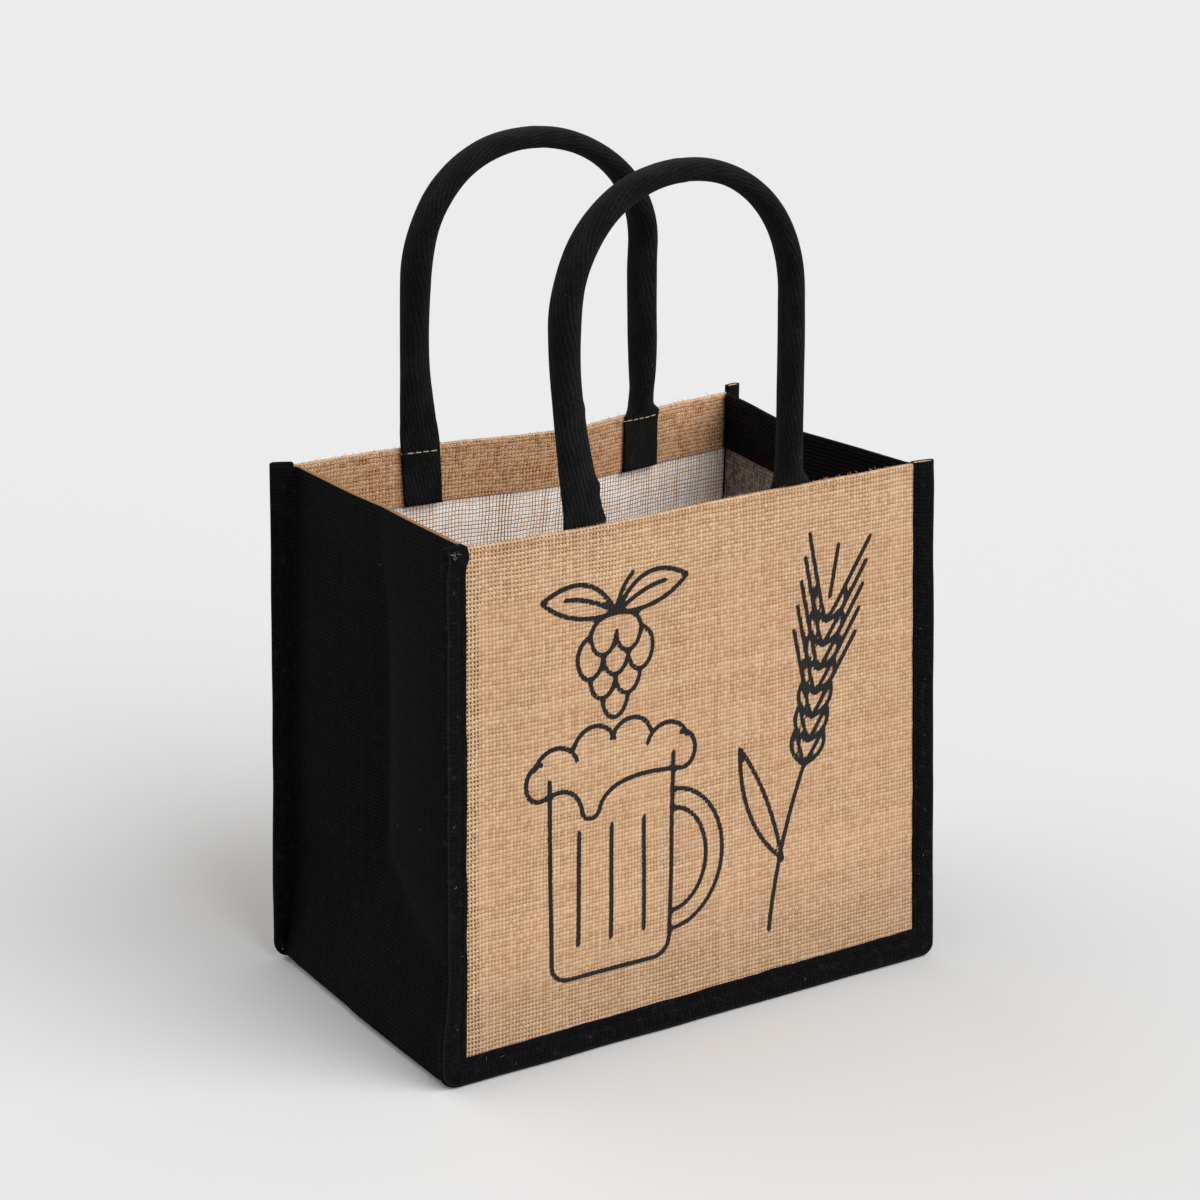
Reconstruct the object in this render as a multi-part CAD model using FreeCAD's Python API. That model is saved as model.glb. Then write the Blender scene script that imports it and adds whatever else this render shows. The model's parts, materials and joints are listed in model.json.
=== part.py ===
import FreeCAD, Part
import math
import os

from FreeCAD import Vector

# Jute bottle carrier, in millimetres. X runs along the front, the front faces -Y, +Z is up.
# The origin is the middle of the base, on the surface that the bag stands on.

# Bag
bag_width = 254.0  # over the bound side seams
bag_height = 235.0  # floor to rim
bag_depth = 146.0  # outer face of the front panel to outer face of the back panel
cloth = 1.2  # laminated jute cloth

# Bound seams that join each panel to the gusset strip
seam_width = 12.5
tape = 0.8  # binding tape
seam_corner_radius = 9.0
seam_lift = 0.3  # underside of the binding above the floor

# Hems turned to the inside at the rim
panel_hem = 27.0
gusset_hem = 25.0
hem_clearance = 0.4

# Fold-flat creases of the side gussets
crease_dent = 7.0  # how far the centre crease is drawn in
crease_apex = 74.0  # height where the centre crease splits to the two corners
fold_flare = 7.2  # how far the bottom fold stands out from the seam line
fold_setback = 15.0  # from the panel's outer face to the end of the bottom fold
collar = 0.1  # straight cloth past the binding before the folds begin

# Handles: padded webbing tubes with flat sewn tabs
handle_spacing = 110.0  # between the centres of one handle's tabs
handle_rise = 145.0  # rim to the top of the handle
handle_top_radius = 58.0  # centre line of the arch
tab_width = 22.5
webbing_fold = 2.4  # two layers of webbing, flat
tab_below_rim = 30.0
flex_above_rim = 5.0  # line where the webbing bends, above the rim
flex_clearance = 0.3
flex_slope = 1.1  # how far the tab's top falls towards the panel, to let the neck turn outwards
neck_length = 6.0  # flat webbing above the flex line
shoulder_rise = 8.0  # neck to where the filling begins to swell the tube
shoulder_width = 20.0
shoulder_depth = 5.0
full_rise = 24.0  # neck to where the tube has its full girth
full_width = 14.0
full_depth = 12.5
grip_width = 10.0  # tube at the arch, across the loop
grip_depth = 16.0  # tube at the arch, front to back
corner_share = 0.46  # corner radius of the webbing's section over its smaller side
webbing = 1.2
core_clearance = 0.15
back_handle_lean = 7.0  # degrees towards the front, at rest

# Loose six-cell bottle divider
divider_height = 92.0
divider_board = 2.5
divider_side_gap = 1.0
divider_floor_gap = 0.3
slot_clearance = 0.2
bottle_pitch = 72.0  # between the two cross boards

# Values worked out from the sizes above
outer_half = bag_width / 2
seam_half = outer_half - seam_width
front_face = -bag_depth / 2
seam_thick = 2 * cloth
fold_start = bag_depth / 2 - seam_thick - tape - collar
fold_end = bag_depth / 2 - fold_setback
tape_inside = outer_half - tape
cloth_bottom = seam_lift + tape
pivot_height = bag_height + flex_above_rim
pivot_inset = seam_thick + webbing_fold / 2
arch_centre = handle_rise - flex_above_rim - grip_width / 2 - handle_top_radius
crease_layer = cloth / math.cos(math.atan(crease_dent / fold_start))  # one layer, measured along X

same_place = 1e-6  # two coordinates closer than this are one

UP = Vector(0, 0, 1)
ALONG = Vector(1, 0, 0)
BACK = Vector(0, 1, 0)


def box(x_low, x_high, y_low, y_high, z_low, z_high):
    """A box between two corners."""
    return Part.makeBox(x_high - x_low, y_high - y_low, z_high - z_low, Vector(x_low, y_low, z_low))


def mirrored(shape):
    """The same piece at the back of the bag."""
    return shape.mirror(Vector(0, 0, 0), BACK)


def plate(half_width, bottom, y_low, y_high, corner_radius):
    """An upright plate from a bottom height to the rim, with rounded lower corners."""
    slab = box(-half_width, half_width, y_low, y_high, bottom, bag_height)
    lower_corners = []
    for edge in slab.Edges:
        middle = edge.CenterOfMass
        if abs(middle.z - bottom) < same_place and abs(abs(middle.x) - half_width) < same_place:
            lower_corners.append(edge)
    return slab.makeFillet(corner_radius, lower_corners)


# Panels and bound seams

def front_panel():
    """One cloth panel: its edges lie inside the binding, its top is turned in as a hem."""
    sheet = plate(tape_inside, cloth_bottom, front_face, front_face + cloth, seam_corner_radius - tape)
    hem_half = seam_half - cloth - hem_clearance
    hem = box(
        -hem_half, hem_half,
        front_face + cloth, front_face + 2 * cloth,
        bag_height - panel_hem, bag_height,
    )
    return sheet.fuse(hem).removeSplitter()


def front_binding():
    """Tape folded round the raw edges: down one side, along the bottom and up the other."""
    outside = plate(
        outer_half, seam_lift, front_face - tape, front_face + seam_thick + tape, seam_corner_radius
    )
    layers = plate(
        tape_inside, cloth_bottom, front_face, front_face + seam_thick, seam_corner_radius - tape
    )
    window = box(
        -seam_half, seam_half,
        front_face - 2 * tape, front_face + seam_thick + 2 * tape,
        seam_width, bag_height + tape,
    )
    return outside.cut(layers).cut(window)


# Gusset strip: left side, base and right side in one length of cloth

def face_normal(corners, inside):
    """Unit normal of a flat facet, on the side of a point inside the bag."""
    normal = (corners[1] - corners[0]).cross(corners[2] - corners[0])
    normal.normalize()
    if normal.dot(inside - corners[0]) < 0:
        normal = normal * -1
    return normal


def offset_corner(corner, planes):
    """The corner where three planes meet after each moves along its normal by its distance."""
    (n1, d1), (n2, d2), (n3, d3) = planes
    shift = n2.cross(n3) * d1 + n3.cross(n1) * d2 + n1.cross(n2) * d3
    return corner + shift * (1 / n1.dot(n2.cross(n3)))


def fan(corners):
    """Triangles that cover one facet."""
    faces = []
    for i in range(1, len(corners) - 1):
        loop = [corners[0], corners[i], corners[i + 1], corners[0]]
        faces.append(Part.Face(Part.makePolygon(loop)))
    return faces


def folded_cloth(outer, inner, facets, rims):
    """A creased sheet: outer facets, the same facets inside, and its cut edges."""
    faces = []
    for facet in facets:
        faces += fan([outer[name] for name in facet])
        faces += fan([inner[name] for name in facet])
    for start, end in rims:
        faces += fan([outer[start], outer[end], inner[end], inner[start]])
    shell = Part.makeShell(faces)
    shell.sewShape()
    return Part.makeSolid(shell)


def gusset_corners():
    """Outer and inner corners of the creased strip, and the facets and cut edges between them."""
    outer = {}
    inner = {}
    facets = []
    rims = []
    middle = Vector(0, 0, bag_height / 2)
    for side, sign in (("left", -1), ("right", 1)):
        for end, y_sign in (("front", -1), ("back", 1)):
            y = y_sign * fold_start
            key = side + "_" + end
            outer[key + "_top"] = Vector(sign * seam_half, y, bag_height)
            outer[key + "_seam"] = Vector(sign * seam_half, y, seam_width)
            outer[key + "_fold"] = Vector(sign * (seam_half + fold_flare), y_sign * fold_end, 0)
            inner[key + "_top"] = Vector(sign * (seam_half - cloth), y, bag_height)
            inner[key + "_seam"] = Vector(sign * (seam_half - cloth), y, seam_width + cloth)
        crease_x = sign * (seam_half - crease_dent)
        outer[side + "_crease_top"] = Vector(crease_x, 0, bag_height)
        outer[side + "_apex"] = Vector(crease_x, 0, crease_apex)
    base = ["left_front_fold", "right_front_fold", "right_back_fold", "left_back_fold"]
    facets.append(base)
    slopes = {}
    for end in ("front", "back"):
        slope = ["left_" + end + "_seam", "right_" + end + "_seam"]
        slope += ["right_" + end + "_fold", "left_" + end + "_fold"]
        slopes[end] = face_normal([outer[name] for name in slope], middle)
        facets.append(slope)
        rims.append(("left_" + end + "_top", "left_" + end + "_seam"))
        rims.append(("left_" + end + "_seam", "right_" + end + "_seam"))
        rims.append(("right_" + end + "_seam", "right_" + end + "_top"))
    for side in ("left", "right"):
        apex = side + "_apex"
        crease = side + "_crease_top"
        triangle = [apex, side + "_front_fold", side + "_back_fold"]
        facets.append(triangle)
        lower = face_normal([outer[name] for name in triangle], middle)
        halves = {}
        for end in ("front", "back"):
            key = side + "_" + end
            half = [key + "_top", crease, apex, key + "_seam"]
            halves[end] = face_normal([outer[name] for name in half], middle)
            facets.append(half)
            facets.append([key + "_seam", apex, key + "_fold"])
            rims.append((key + "_top", crease))
            inner[key + "_fold"] = offset_corner(
                outer[key + "_fold"], [(UP, cloth), (slopes[end], cloth), (lower, cloth)]
            )
        walls = [(halves["front"], cloth), (halves["back"], cloth)]
        inner[crease] = offset_corner(outer[crease], walls + [(UP, 0)])
        inner[apex] = offset_corner(outer[apex], walls + [(lower, cloth)])
    return outer, inner, facets, rims


def seam_allowance():
    """Flat edge of the strip inside the front binding, with the straight cloth behind it."""
    flange = plate(
        tape_inside, cloth_bottom, front_face + cloth, front_face + seam_thick, seam_corner_radius - tape
    )
    inside_half = seam_half - cloth
    inside_bottom = seam_width + cloth
    straight = box(
        -seam_half, seam_half, front_face + cloth, -fold_start, seam_width, bag_height
    )
    hollow = box(
        -inside_half, inside_half,
        front_face, -fold_start + tape,
        inside_bottom, bag_height + tape,
    )
    return flange.fuse(straight).cut(hollow)


def gusset_hem_flap(side):
    """Second layer of cloth behind the top of one gusset, bent along the centre crease."""
    edge_x = side * seam_half
    crease_x = side * (seam_half - crease_dent)
    corners = []
    for x_shift in (crease_layer / 2, 2 * crease_layer):
        row = [
            Vector(edge_x - side * x_shift, -fold_start, bag_height - gusset_hem),
            Vector(crease_x - side * x_shift, 0, bag_height - gusset_hem),
            Vector(edge_x - side * x_shift, fold_start, bag_height - gusset_hem),
        ]
        corners += row if not corners else row[::-1]
    outline = Part.Face(Part.makePolygon(corners + corners[:1]))
    return outline.extrude(UP * gusset_hem)


def gusset_strip():
    """The whole strip: creased sides and base, hems, and both seam allowances."""
    allowance = seam_allowance()
    strip = folded_cloth(*gusset_corners())
    for piece in (allowance, mirrored(allowance), gusset_hem_flap(-1), gusset_hem_flap(1)):
        strip = strip.fuse(piece)
    return strip.removeSplitter()


# Handles

def rounded_outline(centre, across, width, depth):
    """A rounded rectangle: its width lies along a direction, its depth runs front to back."""
    radius = corner_share * min(width, depth)
    half_w = width / 2
    half_d = depth / 2
    diagonal = radius * (1 - math.sqrt(0.5))
    edges = []
    corners = ((1, -1, False), (1, 1, True), (-1, 1, False), (-1, -1, True))
    arcs = []
    for w_sign, d_sign, width_first in corners:
        on_width = (w_sign * half_w, d_sign * (half_d - radius))
        on_depth = (w_sign * (half_w - radius), d_sign * half_d)
        bend = (w_sign * (half_w - diagonal), d_sign * (half_d - diagonal))
        ends = (on_width, on_depth) if width_first else (on_depth, on_width)
        points = [centre + across * w + BACK * d for w, d in (ends[0], bend, ends[1])]
        arcs.append(points)
    for i, points in enumerate(arcs):
        edges.append(Part.Arc(*points).toShape())
        edges.append(Part.LineSegment(points[2], arcs[(i + 1) % 4][0]).toShape())
    return Part.Wire(edges)


def leg_frame():
    """Lean and length of a straight leg that runs from the neck tangent into the arch."""
    half_spacing = handle_spacing / 2
    rise = arch_centre - neck_length
    reach = math.hypot(half_spacing, rise)
    lean = math.asin(handle_top_radius / reach) - math.atan2(half_spacing, rise)
    length = math.sqrt(reach ** 2 - handle_top_radius ** 2)
    return lean, length


def leg_outline(shrink, rise, width, depth, tilt):
    """Outline of the right leg, drawn in by a wall, at a distance along it from the neck."""
    lean, _ = leg_frame()
    across = Vector(math.cos(tilt), 0, -math.sin(tilt))
    x = handle_spacing / 2 + rise * math.sin(lean)
    z = neck_length + rise * math.cos(lean)
    return rounded_outline(Vector(x, 0, z), across, width - 2 * shrink, depth - 2 * shrink)


def neck_outline():
    """Flat webbing where the leg's neck ends."""
    return leg_outline(0.0, 0.0, tab_width, webbing_fold, 0.0)


def handle_tube(shrink, first_outlines):
    """Padded part of a handle, drawn in by a wall, with any outlines that come before the shoulder."""
    lean, length = leg_frame()
    sections = first_outlines + [
        leg_outline(shrink, shoulder_rise, shoulder_width, shoulder_depth, lean),
        leg_outline(shrink, full_rise, full_width, full_depth, lean),
        leg_outline(shrink, length, grip_width, grip_depth, lean),
    ]
    right_leg = Part.makeLoft(sections, True, True)
    left_leg = right_leg.mirror(Vector(0, 0, 0), ALONG)
    sweep = 180 + 2 * math.degrees(lean)
    arch = Part.Face(sections[-1]).revolve(Vector(0, 0, arch_centre), Vector(0, -1, 0), sweep)
    return arch.fuse([right_leg, left_leg])


def handle_neck():
    """Flat webbing at the foot of the right leg, rounded about the flex line."""
    strap = Part.Face(neck_outline()).extrude(UP * -neck_length)
    foot = Vector((handle_spacing - tab_width) / 2, 0, 0)
    roll = Part.makeCylinder(webbing_fold / 2, tab_width, foot, ALONG)
    return strap.fuse(roll)


def handle_sleeve():
    """Webbing tube with flat necks, about its flex line at the origin."""
    right_neck = handle_neck()
    left_neck = right_neck.mirror(Vector(0, 0, 0), ALONG)
    skin = handle_tube(0.0, [neck_outline()]).fuse([right_neck, left_neck])
    return skin.cut(handle_tube(webbing, []))


def handle_core():
    """Cord filling inside the tube."""
    return handle_tube(webbing + core_clearance, [])


def at_rim(shape, back, lean):
    """Set a handle piece on its flex line at the front or back rim, leaning towards the front."""
    y = -front_face - pivot_inset if back else front_face + pivot_inset
    placed = shape.copy()
    placed.rotate(Vector(0, 0, 0), ALONG, lean)
    placed.translate(Vector(0, y, pivot_height))
    return placed


def handle_tab(side, back):
    """Flat end of the webbing, sewn over the hem."""
    low_x = side * handle_spacing / 2 - tab_width / 2
    panel_side = front_face + seam_thick
    bag_side = panel_side + webbing_fold
    bottom = bag_height - tab_below_rim
    top = pivot_height - webbing_fold / 2 - flex_clearance
    corners = [
        Vector(low_x, panel_side, bottom),
        Vector(low_x, bag_side, bottom),
        Vector(low_x, bag_side, top),
        Vector(low_x, panel_side, top - flex_slope),
    ]
    tab = Part.Face(Part.makePolygon(corners + corners[:1])).extrude(ALONG * tab_width)
    return mirrored(tab) if back else tab


# Divider boards

def slot_depth():
    """Each board is slotted to half its height, with room at the end of the slot."""
    return divider_height / 2 + slot_clearance


def divider_long():
    """Board along the bag, slotted from its top edge."""
    half_length = seam_half - crease_dent - 2 * crease_layer - divider_side_gap
    bottom = cloth + divider_floor_gap
    half = divider_board / 2
    board = box(-half_length, half_length, -half, half, bottom, bottom + divider_height)
    for side in (-1, 1):
        centre = side * bottle_pitch / 2
        slot_half = half + slot_clearance
        board = board.cut(box(
            centre - slot_half, centre + slot_half,
            -divider_board, divider_board,
            bottom + divider_height - slot_depth(), bottom + divider_height + cloth,
        ))
    return board


def divider_cross(side):
    """Board across the bag, slotted from below, with its lower corners clear of the base slopes."""
    half_length = bag_depth / 2 - seam_thick - divider_side_gap
    bottom = cloth + divider_floor_gap
    top = bottom + divider_height
    foot = fold_end - divider_side_gap
    slope = seam_width / (fold_start - fold_end)
    shoulder = bottom + slope * (half_length - foot) + divider_side_gap
    slot_half = divider_board / 2 + slot_clearance
    x = side * bottle_pitch / 2 - divider_board / 2
    right_half = [
        (slot_half, bottom + slot_depth()),
        (slot_half, bottom),
        (foot, bottom),
        (half_length, shoulder),
        (half_length, top),
    ]
    profile = right_half + [(-y, z) for y, z in reversed(right_half)]
    corners = [Vector(x, y, z) for y, z in profile]
    return Part.Face(Part.makePolygon(corners + corners[:1])).extrude(ALONG * divider_board)


def pieces():
    """Every piece of the carrier by name."""
    sleeve = handle_sleeve()
    core = handle_core()
    return {
        "front_panel": front_panel(),
        "back_panel": mirrored(front_panel()),
        "gusset_strip": gusset_strip(),
        "front_binding": front_binding(),
        "back_binding": mirrored(front_binding()),
        "front_handle_left_tab": handle_tab(-1, False),
        "front_handle_right_tab": handle_tab(1, False),
        "back_handle_left_tab": handle_tab(-1, True),
        "back_handle_right_tab": handle_tab(1, True),
        "front_handle_sleeve": at_rim(sleeve, False, 0.0),
        "front_handle_core": at_rim(core, False, 0.0),
        "back_handle_sleeve": at_rim(sleeve, True, back_handle_lean),
        "back_handle_core": at_rim(core, True, back_handle_lean),
        "divider_long": divider_long(),
        "divider_cross_left": divider_cross(-1),
        "divider_cross_right": divider_cross(1),
    }


os.makedirs("parts", exist_ok=True)
for name, shape in pieces().items():
    shape.exportStep("parts/" + name + ".step")
    print(name, "solids", len(shape.Solids), "valid", shape.isValid(), "volume", round(shape.Volume, 1))
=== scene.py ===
import json
import math
import random

import bmesh
import bpy
import numpy as np
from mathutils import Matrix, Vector, noise


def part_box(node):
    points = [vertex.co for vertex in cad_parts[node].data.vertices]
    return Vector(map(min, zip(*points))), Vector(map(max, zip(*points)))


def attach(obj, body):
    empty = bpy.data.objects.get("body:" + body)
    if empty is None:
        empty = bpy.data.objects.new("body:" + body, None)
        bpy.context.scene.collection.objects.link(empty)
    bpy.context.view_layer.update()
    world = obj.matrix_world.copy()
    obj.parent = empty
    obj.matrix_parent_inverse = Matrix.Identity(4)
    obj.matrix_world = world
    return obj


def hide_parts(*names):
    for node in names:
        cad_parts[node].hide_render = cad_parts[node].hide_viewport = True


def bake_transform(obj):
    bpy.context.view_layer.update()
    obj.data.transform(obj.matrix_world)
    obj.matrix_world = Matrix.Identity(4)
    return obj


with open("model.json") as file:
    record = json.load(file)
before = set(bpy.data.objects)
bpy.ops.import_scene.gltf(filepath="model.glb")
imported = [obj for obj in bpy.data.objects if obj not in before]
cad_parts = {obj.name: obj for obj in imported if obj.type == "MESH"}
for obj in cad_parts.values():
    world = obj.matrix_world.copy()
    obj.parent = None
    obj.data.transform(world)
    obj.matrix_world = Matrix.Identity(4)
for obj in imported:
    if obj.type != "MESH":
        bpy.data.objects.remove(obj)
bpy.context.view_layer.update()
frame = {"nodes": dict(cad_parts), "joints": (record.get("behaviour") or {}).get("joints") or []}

# Jute bottle carrier in metres. The front faces -Y, +Z is up and the bag stands on Z = 0.

# Places read from the frame
panel_low, panel_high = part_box("front_panel")
binding_low, binding_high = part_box("front_binding")
rim = panel_high.z
face = -panel_low.y  # outer face of each panel, from the middle of the bag
panel_half = panel_high.x
panel_foot = panel_low.z
binding_half = binding_high.x
binding_foot = binding_low.z
binding_out = -binding_low.y
binding_in = -binding_high.y
tab_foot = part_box("front_handle_right_tab")[0].z
seam_middle = (binding_out + binding_in) / 2
seam_half_thick = (binding_out - binding_in) / 2
pivots = {j["child"]: Vector(j["pos_m"]) for j in frame["joints"] if j["type"] == "hinge"}
handle_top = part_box("front_handle_sleeve")[1].z

# Cloth and seams
cloth = 0.0012
seam_width = 0.0125
seam_half = binding_half - seam_width
seam_corner = 0.009
right_corner = 0.0058  # the binding is pulled tighter round the lower right corners
sharpest_corner = 0.0004
binding_top = rim + 0.0004
foot_wider = 0.0005  # the binding is this much wider along the foot than up the sides
foot_wider_right = 0.0022  # and this much more at the right
foot_wider_from = 0.035  # below this height
foot_wider_run = 0.02
panel_hem = 0.027
gusset_hem = 0.025
strip_hem_end = 1 - gusset_hem / (rim - cloth)  # share of a side's height where its hem ends
cut_edge = 0.0003  # the cut edge of a hem keeps its sharp shading this close to itself
turn_angles = [math.radians(angle) for angle in (25, 50, 75, 105, 130, 155)]  # round the fold of a hem
hem_half = seam_half - cloth
fold_start = binding_in - 0.0001
fold_end = face - 0.002
fold_flare = 0.0115
base_edge = fold_start - 0.008
crease_apex = 0.080
crease_end = 0.040  # height at which the slanting crease meets the front seam
crease_rim_y = -0.0045  # the centre crease runs a little aslant, from here at the rim
crease_apex_y = 0.004
left_dent = 0.0068
right_dent = 0.010
left_rim_dent = 0.0012
pillow = 0.0032  # each half of a side stands out between the crease and the seam
crease_soft = 0.0009
tape_overlap = 0.0008  # the strip begins to turn into the seam this far under the binding
flange_slope = 1.1
front_fold_soft = 0.0007
back_fold_softer = 0.0025
front_splay = 0.035  # the standing bag is this share wider at its foot than at its rim
back_splay = -0.007
front_step = 0.035  # and its front and back feet stand out by these shares
back_step = 0.150
right_draw = 0.0038  # its front right corner is drawn in by this at the rim
draw_fade = 0.55  # and by this share less at the foot
foot_loose = 0.010  # a seam hangs straight up to this height, then turns to its angle
front_turn_run = 0.045
back_turn_run = 0.085

# How far each side fin of the front (False) and back (True) seam turns outwards on the left (-1) and the
# right (1), and its share of the bottom band's width
fin_turn = {
    False: {-1: math.radians(12), 1: math.radians(8)},
    True: {-1: math.radians(26), 1: math.radians(26)},
}
fin_share = {False: {-1: 0.90, 1: 0.92}, True: {-1: 0.83, 1: 0.83}}

# How the loose rims swell out of and fall into their planes
front_swell = 0.0042
front_swell_at = -0.058
front_swell_width = 0.047
back_fall = 0.014
back_fall_at = 0.017
back_fall_width = 0.056
seam_ease = 0.022
rim_fade = 1.7  # power with which that dies away down the panel
panel_slack = 0.0009
rim_slack = 0.0006
strip_slack = 0.0008
slack_run = 0.09  # a side is held flat at its rim and slack this far below it

# Handles
arch_rise = 0.058
arch_square = 2.08  # 2 is an ellipse
grip_width = 0.0092
grip_depth = 0.0148
strap_thick = 0.0024
flare_start = 0.006  # the strap begins to close into a tube this far below the flex line
tab_short = 0.003
leg_bend = 2.4
# Front (False) and back (True) handles, left leg and right leg
handle_feet = {False: (-0.0584, 0.0474), True: (-0.0546, 0.0592)}
strap_widths = {False: (0.0182, 0.0182), True: (0.0180, 0.0206)}
tab_slant = {False: (0.0, 0.0), True: (-0.07, -0.05)}
# Places where an edge of the webbing stands out: leg, height above the flex line, side and size
bump_length = 0.0026
edge_bumps = {
    False: (
        (0, 0.044, 1, 0.0007),
        (0, 0.0105, 1, 0.0014),
        (0, -0.004, 1, 0.0014),
        (1, -0.003, 1, 0.0022),
    ),
    True: ((1, -0.004, 1, 0.0016), (1, -0.034, -1, 0.0008)),
}

# Weave
warp_pitch = 0.0016
weft_pitch = 0.0019
warp_seed = 0.5
weft_seed = 91.5
black_fill = 0.9  # width of a thread of the black cloth as a share of the pitch
print_line = 0.0022
rim_stitch_pitch = 0.0037
rim_stitch_drop = 0.0022
binding_stitch_pitch = 0.0036

rng = random.Random(7)


# Small helpers

def smooth(share):
    """0 below 0, 1 above 1, eased between."""
    share = min(1.0, max(0.0, share))
    return share * share * (3 - 2 * share)


def soft_min(a, b, width):
    """The smaller of two values, rounded where they cross."""
    return min(a, b) - width * math.log1p(math.exp(-abs(a - b) / width))


def soft_max(a, b, width):
    """The larger of two values, rounded where they cross."""
    return -soft_min(-a, -b, width)


def ripple(x, y, scale, seed):
    """Slow unevenness from -1 to 1."""
    return noise.noise(Vector((x / scale, y / scale, seed)))


def stand(x, y, z):
    """A point of the upright bag, moved to where the standing bag has it."""
    low = max(0.0, 1 - z / rim)
    rear = min(1.0, max(0.0, (y / face + 1) / 2))
    spread = front_splay + (back_splay - front_splay) * rear
    drawn = right_draw * (1 - rear) * (1 - draw_fade * low) * (max(0.0, x) / panel_half) ** 2
    step = back_step if y > 0 else front_step
    return x * (1 + spread * low) - drawn, y * (1 + step * low), z


def lengths_along(line):
    """How far along a line each of its points lies."""
    lengths = [0.0]
    for before, after in zip(line, line[1:]):
        lengths.append(lengths[-1] + math.dist(before, after))
    return lengths


def grid_faces(rows, columns, wrap_rows=False, wrap_columns=False):
    """Quads of a grid of points stored row by row."""
    faces = []
    for i in range(rows if wrap_rows else rows - 1):
        row = i * columns
        below = (i + 1) % rows * columns
        for j in range(columns if wrap_columns else columns - 1):
            beside = (j + 1) % columns
            faces.append((row + j, row + beside, below + beside, below + j))
    return faces


def tube_faces(rings, sides):
    """Quads of a tube stored ring by ring, and a face over each end."""
    faces = grid_faces(rings, sides, wrap_columns=True)
    faces.append(tuple(range(sides)))
    faces.append(tuple(range((rings - 1) * sides, rings * sides)))
    return faces


def edge_rings(rows, columns):
    """Points along the first and the last column of a grid."""
    return [[i * columns + column for i in range(rows)] for column in (0, columns - 1)]


def slit_faces(first, second):
    """Faces that close the slit between two rows of points that run side by side."""
    faces = []
    i = 0
    j = 0
    while i < len(first) - 1 or j < len(second) - 1:
        if (i + 1) * (len(second) - 1) <= (j + 1) * (len(first) - 1):
            faces.append((first[i], first[i + 1], second[j]))
            i += 1
        else:
            faces.append((first[i], second[j + 1], second[j]))
            j += 1
    return faces


def add_object(name, data):
    """A new object in the scene."""
    made = bpy.data.objects.new(name, data)
    bpy.context.scene.collection.objects.link(made)
    return made


def add_piece(name, points, faces, materials, sections=None, cloth_at=None, ink=None):
    """A smooth closed mesh whose points know their place on the flat cloth."""
    mesh = bpy.data.meshes.new(name)
    mesh.from_pydata([stand(*p) for p in points], [], faces)
    for material in materials:
        mesh.materials.append(material)
    if sections is not None:
        mesh.polygons.foreach_set("material_index", sections)
    mesh.polygons.foreach_set("use_smooth", [True] * len(mesh.polygons))
    if cloth_at is not None:
        place = mesh.attributes.new("cloth", "FLOAT_VECTOR", "POINT")
        place.data.foreach_set("vector", np.array(cloth_at, np.float32).ravel())
    if ink is not None:
        distance = mesh.attributes.new("ink", "FLOAT", "POINT")
        distance.data.foreach_set("value", np.array(ink, np.float32))
    shell = bmesh.new()
    shell.from_mesh(mesh)
    bmesh.ops.recalc_face_normals(shell, faces=shell.faces)
    shell.to_mesh(mesh)
    shell.free()
    return add_object(name, mesh)


# Materials

class Term:
    """A number, place or colour that nodes work out. Numbers can be used in formulas."""

    def __init__(self, nodes, socket):
        self.nodes = nodes
        self.socket = socket

    def to(self, operation, other=0.0, clamp=False):
        return self.nodes.work_out(operation, self, other, clamp)

    def limited(self):
        """The number, held between 0 and 1."""
        return self.to("ADD", clamp=True)

    def __add__(self, other):
        return self.to("ADD", other)

    def __sub__(self, other):
        return self.to("SUBTRACT", other)

    def __rsub__(self, other):
        return self.nodes.work_out("SUBTRACT", other, self)

    def __mul__(self, other):
        return self.to("MULTIPLY", other)

    def __truediv__(self, other):
        return self.to("DIVIDE", other)

    __radd__ = __add__
    __rmul__ = __mul__


class Nodes:
    """The nodes of a material or of the world."""

    def __init__(self, tree):
        self.tree = tree

    def feed(self, socket, value):
        """Link a socket to a term, or set it to a number or a colour."""
        if isinstance(value, Term):
            self.tree.links.new(value.socket, socket)
        else:
            socket.default_value = (*value, 1.0) if isinstance(value, tuple) else value

    def node(self, kind, inputs, output=0, **settings):
        """A new node, as the term that one of its outputs gives."""
        made = self.tree.nodes.new(kind)
        for key, value in settings.items():
            setattr(made, key, value)
        for key, value in inputs.items():
            self.feed(made.inputs[key], value)
        return Term(self, made.outputs[output])

    def work_out(self, operation, first, second, clamp=False):
        return self.node("ShaderNodeMath", {0: first, 1: second}, operation=operation, use_clamp=clamp)

    def looked_at(self):
        """1 for what the camera or a reflection sees, 0 for light that is thrown on things."""
        seen = self.node("ShaderNodeLightPath", {}, "Is Camera Ray")
        rays = seen.socket.node.outputs
        for ray in ("Is Glossy Ray", "Is Transmission Ray"):
            seen = seen.to("MAXIMUM", Term(self, rays[ray]))
        return seen


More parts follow.
